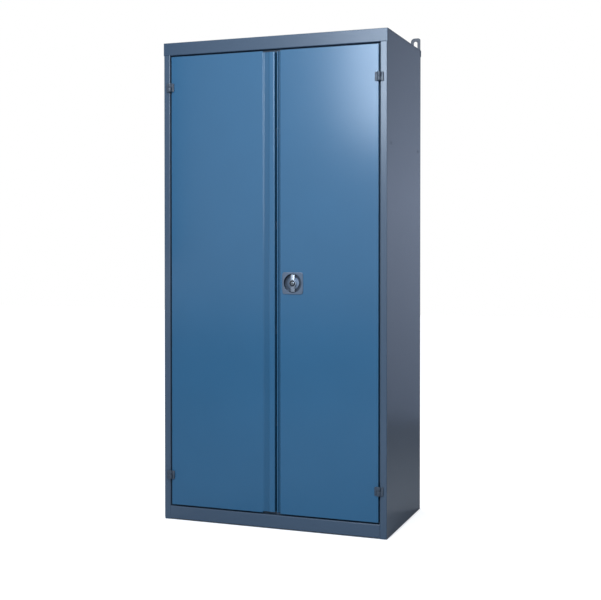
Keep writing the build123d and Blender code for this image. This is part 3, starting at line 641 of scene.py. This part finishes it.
pad_columns = (pad_low[0] + pad_side / 2, -inner_pad_x, inner_pad_x, pad_high[0] - pad_side / 2)
pad_rows = (pad_low[2] + pad_side / 2, pad_high[2] - pad_side / 2)
door_buffers = set_out(
    "door_buffer_pads", [(x, pad_high[1], z) for z in pad_rows for x in pad_columns], (math.pi / 2, 0, 0),
    pad_tree,
    {
        pad_inputs["Pad_side"]: pad_side,
        pad_inputs["Corner_radius"]: pad_corner,
        pad_inputs["Pad_thickness"]: pad_high[1] - pad_low[1],
        pad_inputs["Rubber"]: buffer_rubber,
    },
    rounding=pad_rounding,
)
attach(door_buffers, "frame")
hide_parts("door_buffers")

# ------------------------------------------------------------------ hinges
# Barrel hinges of two knuckles cut from drawn steel bar, on thick leaves that are welded to the stile and the
# door. Their thin coat is duller than the carcass's, and its colour is painted darker, as painted shade.
leaf_rounding = 0.0005
pin_rounding = 0.0006
hinge_coat = powder_coat("hinge_coat", (0.038, 0.055, 0.079), 0.42)
for end in ("lower", "upper"):
    for side in ("left", "right"):
        softened(f"hinge_frame_leaf_{end}_{side}", "frame", hinge_coat, leaf_rounding)
        softened(f"hinge_door_leaf_{end}_{side}", f"{side}_door", hinge_coat, leaf_rounding)
        softened(f"hinge_pin_{end}_{side}", "frame", hinge_coat, pin_rounding)


# ------------------------------------------------------------------ lock escutcheon
# A square die casting with a round cup let into the door. The plate is satin-nickelled, and the inside of the
# cup is painted dark, as painted shade. Two threaded studs on its back hold it.
def satin_cast(name, colour, roughness):
    """A die casting, blasted and nickelled: fine grain all over and faint clouds of tone."""
    cloud_size = 0.012
    cloud_share = 0.1
    sheen_size = 0.004
    sheen_change = 0.05
    grain_size = 0.0003
    grain_depth = 0.000012
    cast, nodes, links, shader = new_finish(name)
    shader.inputs["Metallic"].default_value = 0.6
    place = own_place(nodes)
    clouds = noise(nodes, links, place, cloud_size, 3)
    tone = blend(nodes, links, clouds, lighter(colour, -cloud_share), lighter(colour, cloud_share))
    links.new(tone, shader.inputs["Base Color"])
    sheen = spread_over(
        nodes, links, noise(nodes, links, place, sheen_size, 4),
        low=roughness - sheen_change, high=roughness + sheen_change,
    )
    links.new(sheen, shader.inputs["Roughness"])
    grain = relief(nodes, links, noise(nodes, links, place, grain_size, 2), grain_depth)
    links.new(grain, shader.inputs["Normal"])
    return cast


plate_metal = satin_cast("plate_satin", (0.105, 0.142, 0.198), 0.34)
shaded_cup_metal = satin_cast("cup_dull", (0.040, 0.055, 0.078), 0.42)
lock_x = 0.0855
lock_z = 0.925
plate_half = 0.041
plate_corner = 0.010
plate_back = -0.250
plate_front = -0.253
plate_round = 0.0012
cup_radius = 0.035
cup_outer_radius = 0.0375
cup_floor = -0.240
cup_back = -0.238
cup_rim_round = 0.0009
cup_floor_round = 0.0018
cup_back_round = 0.0010
bore_radius = 0.00408
stud_offset = 0.033
stud_radius = 0.002
stud_end = -0.241
thread_pitch = 0.0007
thread_depth = 0.00035
quarter_steps = 20
corner_steps = 8


def square_loop(inset):
    """The plate's outline, with its corners kept round as it is drawn in."""
    half = plate_half - inset
    corner = plate_corner - inset
    middle = half - corner
    side_steps = quarter_steps - corner_steps
    loop = []
    for quarter in range(4):
        facing = math.pi / 2 * quarter
        along = [(half, middle * (2 * i / side_steps - 1)) for i in range(side_steps)]
        bend = [math.pi / 2 * i / corner_steps for i in range(corner_steps)]
        along += [(middle + corner * math.cos(b), middle + corner * math.sin(b)) for b in bend]
        for x, z in along:
            loop.append((
                x * math.cos(facing) - z * math.sin(facing), x * math.sin(facing) + z * math.cos(facing)
            ))
    return loop


def round_loop(radius):
    """A circle with a point for each point of the plate's outline."""
    angles = [math.atan2(z, x) for x, z in square_loop(0)]
    return [(radius * math.cos(a), radius * math.sin(a)) for a in angles]


def fillet_steps(radius, steps=4):
    """How far a quarter-round has come across and along, from its first edge to its last."""
    turns = [math.pi / 2 * i / steps for i in range(steps + 1)]
    return [(radius * (1 - math.cos(t)), radius * math.sin(t)) for t in turns]


escutcheon_loops = [(square_loop(0), plate_back)]
for across, along in fillet_steps(plate_round):
    escutcheon_loops.append((square_loop(across), plate_front + plate_round - along))
for across, along in reversed(fillet_steps(cup_rim_round)):
    escutcheon_loops.append((round_loop(cup_radius + across), plate_front + cup_rim_round - along))
cup_starts = len(escutcheon_loops) - 1
for across, along in fillet_steps(cup_floor_round):
    escutcheon_loops.append((round_loop(cup_radius - across), cup_floor - cup_floor_round + along))
escutcheon_loops += [(round_loop(bore_radius), cup_floor), (round_loop(bore_radius), cup_back)]
cup_ends = len(escutcheon_loops) - 2
for across, along in reversed(fillet_steps(cup_back_round)):
    escutcheon_loops.append((round_loop(cup_outer_radius - across), cup_back - cup_back_round + along))
escutcheon_loops.append((round_loop(cup_outer_radius), plate_back))

plate_form = bmesh.new()
plate_rings = [
    [plate_form.verts.new((lock_x + x, y, lock_z + z)) for x, z in loop] for loop, y in escutcheon_loops
]
# the cup's faces take the second finish, the painted shade
for number, (near, far) in enumerate(zip(plate_rings, plate_rings[1:] + plate_rings[:1])):
    for i in range(len(near)):
        j = (i + 1) % len(near)
        band = plate_form.faces.new((near[i], near[j], far[j], far[i]))
        band.material_index = 1 if cup_starts <= number < cup_ends else 0
bmesh.ops.recalc_face_normals(plate_form, faces=plate_form.faces)

# the thread climbs one pitch a turn, from inside the plate to the stud's end
thread_steps = 24
rings_in_a_pitch = 4
stud_root = 0.0005
for x_sign in (-1, 1):
    stud_rings = []
    stud_start = plate_back - stud_root
    ring_count = int((stud_end - stud_start) / thread_pitch * rings_in_a_pitch)
    for ring in range(ring_count + 1):
        along = stud_start + (stud_end - stud_start) * ring / ring_count
        points = []
        for i in range(thread_steps):
            angle = 2 * math.pi * i / thread_steps
            climb = (along / thread_pitch - i / thread_steps) % 1
            radius = stud_radius - thread_depth * abs(2 * climb - 1)
            points.append(plate_form.verts.new((
                lock_x + x_sign * stud_offset + radius * math.cos(angle),
                along,
                lock_z - x_sign * stud_offset + radius * math.sin(angle),
            )))
        stud_rings.append(points)
    thread_faces = [plate_form.faces.new(stud_rings[0]), plate_form.faces.new(stud_rings[-1])]
    for near, far in zip(stud_rings, stud_rings[1:]):
        for i in range(thread_steps):
            j = (i + 1) % thread_steps
            thread_faces.append(plate_form.faces.new((near[i], near[j], far[j], far[i])))
    bmesh.ops.recalc_face_normals(plate_form, faces=thread_faces)
escutcheon = new_piece(plate_form, "escutcheon_casting", plate_metal, second_finish=shaded_cup_metal)
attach(escutcheon, "right_door")
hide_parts("lock_escutcheon")

# ------------------------------------------------------------------ escutcheon nuts
# Hexagon nuts of zinc-plated steel, one on each stud of the lock plate. They are drawn up tight behind the
# door's skin, and hold the casting flat against its front.
works_zinc = zinc_plate("works_zinc", 0.002, 0.36)
nut_across_flats = 0.007
nut_bore = 0.00205
nut_rounding = 0.0003
nut_low, nut_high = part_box("escutcheon_nuts")
nut_tree, nut_inputs = new_tree(
    "hexagon_nuts",
    Corner_radius="NodeSocketFloat", Bore_radius="NodeSocketFloat", Nut_height="NodeSocketFloat",
    Zinc="NodeSocketMaterial",
)
nodes, links = nut_tree.nodes, nut_tree.links
given = nodes.new("NodeGroupInput")
outlines = nodes.new("GeometryNodeJoinGeometry")
for corners, label in ((6, "Corner radius"), (24, "Bore radius")):
    circle = nodes.new("GeometryNodeCurvePrimitiveCircle")
    circle.inputs["Resolution"].default_value = corners
    links.new(given.outputs[label], circle.inputs["Radius"])
    links.new(circle.outputs["Curve"], outlines.inputs["Geometry"])
nut = raised_plate(nut_tree, outlines.outputs["Geometry"], given.outputs["Nut height"])
on_points(nut_tree, given, nut, "Zinc")
nuts = set_out(
    "escutcheon_stud_nuts",
    [(lock_x + s * stud_offset, nut_high[1], lock_z - s * stud_offset) for s in (-1, 1)],
    (math.pi / 2, 0, 0), nut_tree,
    {
        nut_inputs["Corner_radius"]: nut_across_flats / math.sqrt(3),
        nut_inputs["Bore_radius"]: nut_bore,
        nut_inputs["Nut_height"]: nut_high[1] - nut_low[1],
        nut_inputs["Zinc"]: works_zinc,
    },
    rounding=nut_rounding,
)
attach(nuts, "right_door")
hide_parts("escutcheon_nuts")

# ------------------------------------------------------------------ handle and key cylinder
# The knob is a die casting too, its grip painted lighter than the plate, as painted highlight. The key
# cylinder in its boss and the plug that the key turns are nickel-plated brass, turned and polished, painted
# dark as painted shade.
knob_metal_painted_light = satin_cast("knob_satin", (0.30, 0.34, 0.40), 0.27)
knob_rounding = 0.0006
cylinder_rounding = 0.0003
plug_rounding = 0.0002
hub_height = 0.006
front_reach = 0.0003
knob = softened("handle_knob", "handle", knob_metal_painted_light, knob_rounding)
hub_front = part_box("handle_knob")[1][1] - hub_height
# the hub behind the grip keeps the plate's darker finish, without the grip's painted highlight
knob.data.materials.append(plate_metal)
for face in knob.data.polygons:
    if face.center[1] > hub_front - front_reach:
        face.material_index = 1


def turned_nickel(name, colour):
    """Nickel on turned brass in the colour given, with the fine rings that the lathe left."""
    ring_pitch = 0.0015
    ring_depth = 0.000004
    ring_share = 0.1
    dull, bright = 0.30, 0.18
    nickel, nodes, links, shader = new_finish(name)
    shader.inputs["Metallic"].default_value = 1
    on_axis = nodes.new("ShaderNodeMapping")
    on_axis.inputs["Location"].default_value = (-lock_x, 0, -lock_z)
    links.new(own_place(nodes), on_axis.inputs["Vector"])
    turning = nodes.new("ShaderNodeTexWave")
    turning.wave_type = "RINGS"
    turning.rings_direction = "Y"
    turning.inputs["Scale"].default_value = 1 / ring_pitch
    turning.inputs["Distortion"].default_value = 0.4
    links.new(on_axis.outputs["Vector"], turning.inputs["Vector"])
    rings = turning.outputs["Fac"]
    tone = blend(nodes, links, rings, lighter(colour, -ring_share), lighter(colour, ring_share))
    links.new(tone, shader.inputs["Base Color"])
    links.new(spread_over(nodes, links, rings, low=bright, high=dull), shader.inputs["Roughness"])
    links.new(relief(nodes, links, rings, ring_depth), shader.inputs["Normal"])
    return nickel


# both are painted far darker than bare nickel, the cylinder near black, as painted shade of the keyhole
cylinder_nickel = turned_nickel("cylinder_nickel", (0.035, 0.042, 0.055))
plug_nickel = turned_nickel("plug_nickel", (0.24, 0.27, 0.30))
softened("key_cylinder", "handle", cylinder_nickel, cylinder_rounding)
softened("key_plug", "key", plug_nickel, plug_rounding)

# ------------------------------------------------------------------ lock works
# Pressed and blanked steel, zinc-plated. The case bridges the cam on the handle's spindle. The cam's pins
# drive the two rods through their guides, and the side bolt into its keeper.
for node, body, rounding in (
    ("lock_case", "right_door", 0.0005),
    ("upper_rod_guide", "right_door", 0.0004),
    ("lower_rod_guide", "right_door", 0.0004),
    ("handle_spindle", "handle", 0.0003),
    ("lock_cam", "handle", 0.0003),
    ("upper_rod", "upper_rod", 0.0004),
    ("lower_rod", "lower_rod", 0.0004),
    ("side_bolt", "side_bolt", 0.0003),
    ("bolt_keeper", "left_door", 0.0003),
):
    softened(node, body, works_zinc, rounding)

# ------------------------------------------------------------------ cam screw
# A zinc-plated steel screw with a pan head, through the cam and the spindle into the knob. Its head has a
# cross recess for the driver.
screw_low, screw_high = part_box("cam_screw")
head_radius = 0.0044
head_height = 0.0016
screw_radius = 0.002
head_seat = screw_high[1] - head_height
recess_span = 0.0044
recess_width = 0.0011
recess_depth = 0.0011
tip_chamfer = 0.0003
head_rim = 0.0005
dome_steps = 8
screw_form = bmesh.new()
head_profile = [
    (0, screw_low[1]), (screw_radius - tip_chamfer, screw_low[1]), (screw_radius, screw_low[1] + tip_chamfer),
    (screw_radius, head_seat), (head_radius, head_seat),
]
for t in [math.pi / 2 * i / dome_steps for i in range(dome_steps)]:
    dome_height = (head_height - head_rim) * math.sin(t)
    head_profile.append((head_radius * math.cos(t), head_seat + head_rim + dome_height))
head_profile.append((0, screw_high[1]))
turned(screw_form, lambda x, z, along: (lock_x + x, along, lock_z + z), head_profile)
screw_shank = mesh_of(screw_form, "cam_screw_blank")
cross_form = bmesh.new()
for wide, high in ((recess_span, recess_width), (recess_width, recess_span)):
    arm = bmesh.ops.create_cube(cross_form, size=1)["verts"]
    bmesh.ops.scale(cross_form, vec=(wide, 2 * recess_depth, high), verts=arm)
    bmesh.ops.translate(cross_form, vec=(lock_x, screw_high[1], lock_z), verts=arm)
cross = in_scene("driver_cross", mesh_of(cross_form, "driver_cross"))
cam_screw = in_scene("cam_pan_screw", screw_shank)
screw_shank.materials.append(works_zinc)
recess = cam_screw.modifiers.new("cross_recess", "BOOLEAN")
recess.operation = "DIFFERENCE"
recess.solver = "EXACT"
recess.use_self = True
recess.object = cross
made_plain(cam_screw)
bpy.data.objects.remove(cross)
smooth_faces(cam_screw.data)
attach(cam_screw, "handle")
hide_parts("cam_screw")

# ------------------------------------------------------------------ studio
# A pale floor under a white surround. The floor is grey for the light that it throws back at the cabinet, and
# white to the camera wherever nothing shades it.
world = bpy.data.worlds.new("studio_surround")
bpy.context.scene.world = world
world.use_nodes = True
nodes, links = world.node_tree.nodes, world.node_tree.links
surround = nodes["Background"]
surround.inputs["Color"].default_value = (1, 1, 1, 1)
surround_light = 0.16
paths = nodes.new("ShaderNodeLightPath").outputs
seen = work_out(nodes, links, "MAXIMUM", paths["Is Camera Ray"], paths["Is Transmission Ray"])
seen_or_mirrored = work_out(nodes, links, "MAXIMUM", seen, paths["Is Glossy Ray"])
level = spread_over(nodes, links, seen_or_mirrored, low=surround_light)
links.new(level, surround.inputs["Strength"])

floor_side = 24
bpy.ops.mesh.primitive_plane_add(size=floor_side, location=(0, 0, 0))
floor = bpy.context.object
floor.name = "studio_floor"
floor_paint, nodes, links, floor_shader = new_finish("studio_floor_paint")
floor_shader.inputs["Roughness"].default_value = 0.9
paths = nodes.new("ShaderNodeLightPath").outputs
# the floor is painted a darker grey where the cabinet mirrors it, as painted reflection
floor_grey_painted_in_gloss = blend(nodes, links, paths["Is Glossy Ray"], (0.50, 0.51, 0.53), (0.36, 0.37, 0.39))
links.new(floor_grey_painted_in_gloss, floor_shader.inputs["Base Color"])
glow_start, glow_end = 0.5, 2.2
glow_at_foot = 0.78
distance = nodes.new("ShaderNodeVectorMath")
distance.operation = "LENGTH"
links.new(own_place(nodes), distance.inputs[0])
spread = spread_over(
    nodes, links, distance.outputs["Value"], start=glow_start, end=glow_end, low=glow_at_foot
)
# nothing glows under the cabinet, so the crack below it stays dark
foot_half_width, foot_half_depth = 0.446, 0.247
foot_edge_fade = 0.008
floor_axes = own_axes(nodes, links)
beyond = []
for axis_name, half_size in (("X", foot_half_width), ("Y", foot_half_depth)):
    off_middle = work_out(nodes, links, "ABSOLUTE", floor_axes[axis_name])
    beyond.append(spread_over(nodes, links, off_middle, start=half_size, end=half_size + foot_edge_fade))
clear = work_out(nodes, links, "MAXIMUM", beyond[0], beyond[1])
open_glow = work_out(nodes, links, "MULTIPLY", spread, clear)
glow = nodes.new("ShaderNodeEmission")
glow.inputs["Color"].default_value = (1, 1, 1, 1)
links.new(work_out(nodes, links, "MULTIPLY", open_glow, paths["Is Camera Ray"]), glow.inputs["Strength"])
both = nodes.new("ShaderNodeAddShader")
links.new(floor_shader.outputs["BSDF"], both.inputs[0])
links.new(glow.outputs["Emission"], both.inputs[1])
links.new(both.outputs["Shader"], nodes["Material Output"].inputs["Surface"])
floor.data.materials.append(floor_paint)


def soft_box(name, place, target, size, power, colour):
    """A rectangular lamp at a place, turned to a target, with its size in metres and its power in watts."""
    lamp = bpy.data.lights.new(name, "AREA")
    lamp.shape = "RECTANGLE"
    lamp.size, lamp.size_y = size
    lamp.energy = power
    lamp.color = colour
    lamp_object = in_scene(name, lamp)
    aim = (Vector(target) - Vector(place)).to_track_quat("-Z", "Y").to_matrix().to_4x4()
    lamp_object.matrix_world = Matrix.Translation(place) @ aim
    return lamp_object


cool_white = (0.88, 0.94, 1.0)
back_box_spread = math.radians(70)
soft_box("front_soft_box", (-0.08, -4.2, 2.74), (0.2, -0.25, 1.4), (1.7, 1.74), 145, (0.72, 0.84, 1.0))
soft_box("high_soft_box", (0.3, -2.3, 3.5), (0.0, -0.25, 1.2), (1.0, 0.8), 18, cool_white)
soft_box("top_soft_box", (0.0, -0.8, 4.2), (0.0, 0.0, 1.0), (2.5, 2.0), 30, cool_white)
near_box = soft_box("near_soft_box", (0.95, -2.0, 1.75), (0.2, -0.25, 1.55), (0.5, 1.2), 6, (0.9, 0.95, 1.0))
back_box = soft_box("back_soft_box", (-1.6, 2.6, 1.7), (-0.1, 0.25, 1.1), (1.2, 1.6), 28, cool_white)
back_box.data.spread = back_box_spread
strip_box = soft_box("strip_soft_box", (0.30, -1.25, 1.25), (0.30, -0.25, 1.2), (0.4, 2.2), 3, cool_white)
for box in (near_box, back_box, strip_box):
    box.visible_camera = False
for box in (back_box, strip_box):
    box.visible_glossy = False


def studio_screen(name, width, height, place, tilt, finish):
    """An upright sheet that the camera doesn't see, but that lights the cabinet and shows in its gloss."""
    bpy.ops.mesh.primitive_plane_add(size=1, location=(0, 0, 0))
    screen = bpy.context.object
    screen.name = name
    screen.data.transform(
        Matrix.Translation(place)
        @ Matrix.Rotation(math.radians(tilt), 4, "X")
        @ Matrix.Diagonal((width, height, 1, 1))
    )
    screen.visible_camera = False
    screen.data.materials.append(finish)
    return screen


# A grey flag stands in front of the left-hand door, where only the cabinet mirrors it.
flag_grey = 0.22
flag_width = 1.6
flag_height = 2.0
flag_foot = 1.0
flag_cloth, nodes, links, flag_shader = new_finish("studio_flag_cloth")
flag_shader.inputs["Base Color"].default_value = (flag_grey, flag_grey, flag_grey, 1)
flag_shader.inputs["Roughness"].default_value = 1
flag_place = (-1.82, -1.5, flag_foot + flag_height / 2)
flag = studio_screen("studio_flag", flag_width, flag_height, flag_place, -90, flag_cloth)

# A cool card stands behind the right-hand side, where only the cabinet mirrors it. It glows most at mid
# height. Each row is a share of its height and the glow there.
card_width = 2.6
card_height = 3.0
card_glows = [(0.0, 0.45), (0.45, 1.0), (0.85, 0.5)]
card_paint, nodes, links, card_shader = new_finish("studio_card_paint")
card_shader.inputs["Base Color"].default_value = (0.05, 0.05, 0.05, 1)
card_shader.inputs["Roughness"].default_value = 0.9
card_shader.inputs["Emission Color"].default_value = (0.52, 0.62, 0.85, 1)
card_rise = work_out(nodes, links, "DIVIDE", own_axes(nodes, links)["Z"], card_height)
card_glow = nodes.new("ShaderNodeValToRGB")
stops = card_glow.color_ramp.elements
stops[1].position = card_glows[1][0]
stops.new(card_glows[2][0])
for stop, (rise, strength) in zip(stops, card_glows):
    stop.position = rise
    stop.color = (strength, strength, strength, 1)
links.new(card_rise, card_glow.inputs["Fac"])
links.new(card_glow.outputs["Color"], card_shader.inputs["Emission Strength"])
card = studio_screen("studio_card", card_width, card_height, (1.9, 2.4, card_height / 2), 90, card_paint)

# ------------------------------------------------------------------ camera
# It stands level in front of the cabinet, to its right and a little above the lock, and its lens is shifted
# downwards. The focal length and the shift are in pixels of the finished image's width.
image_width = 601
focal_length = 1082.07
horizon_lift = 38.88
camera_place = (1.5049, -4.0203, 1.0666)
camera_heading = 20.219
camera_pitch = 89.160
camera_data = bpy.data.cameras.new("camera")
camera_data.sensor_fit = "HORIZONTAL"
camera_data.sensor_width = 36
camera_data.lens = focal_length / image_width * camera_data.sensor_width
camera_data.shift_y = -horizon_lift / image_width
camera = in_scene("camera", camera_data)
heading = Matrix.Rotation(math.radians(camera_heading), 4, "Z")
pitch = Matrix.Rotation(math.radians(camera_pitch), 4, "X")
camera.matrix_world = Matrix.Translation(camera_place) @ heading @ pitch
bpy.context.scene.camera = camera
bpy.context.scene.view_settings.view_transform = "Standard"
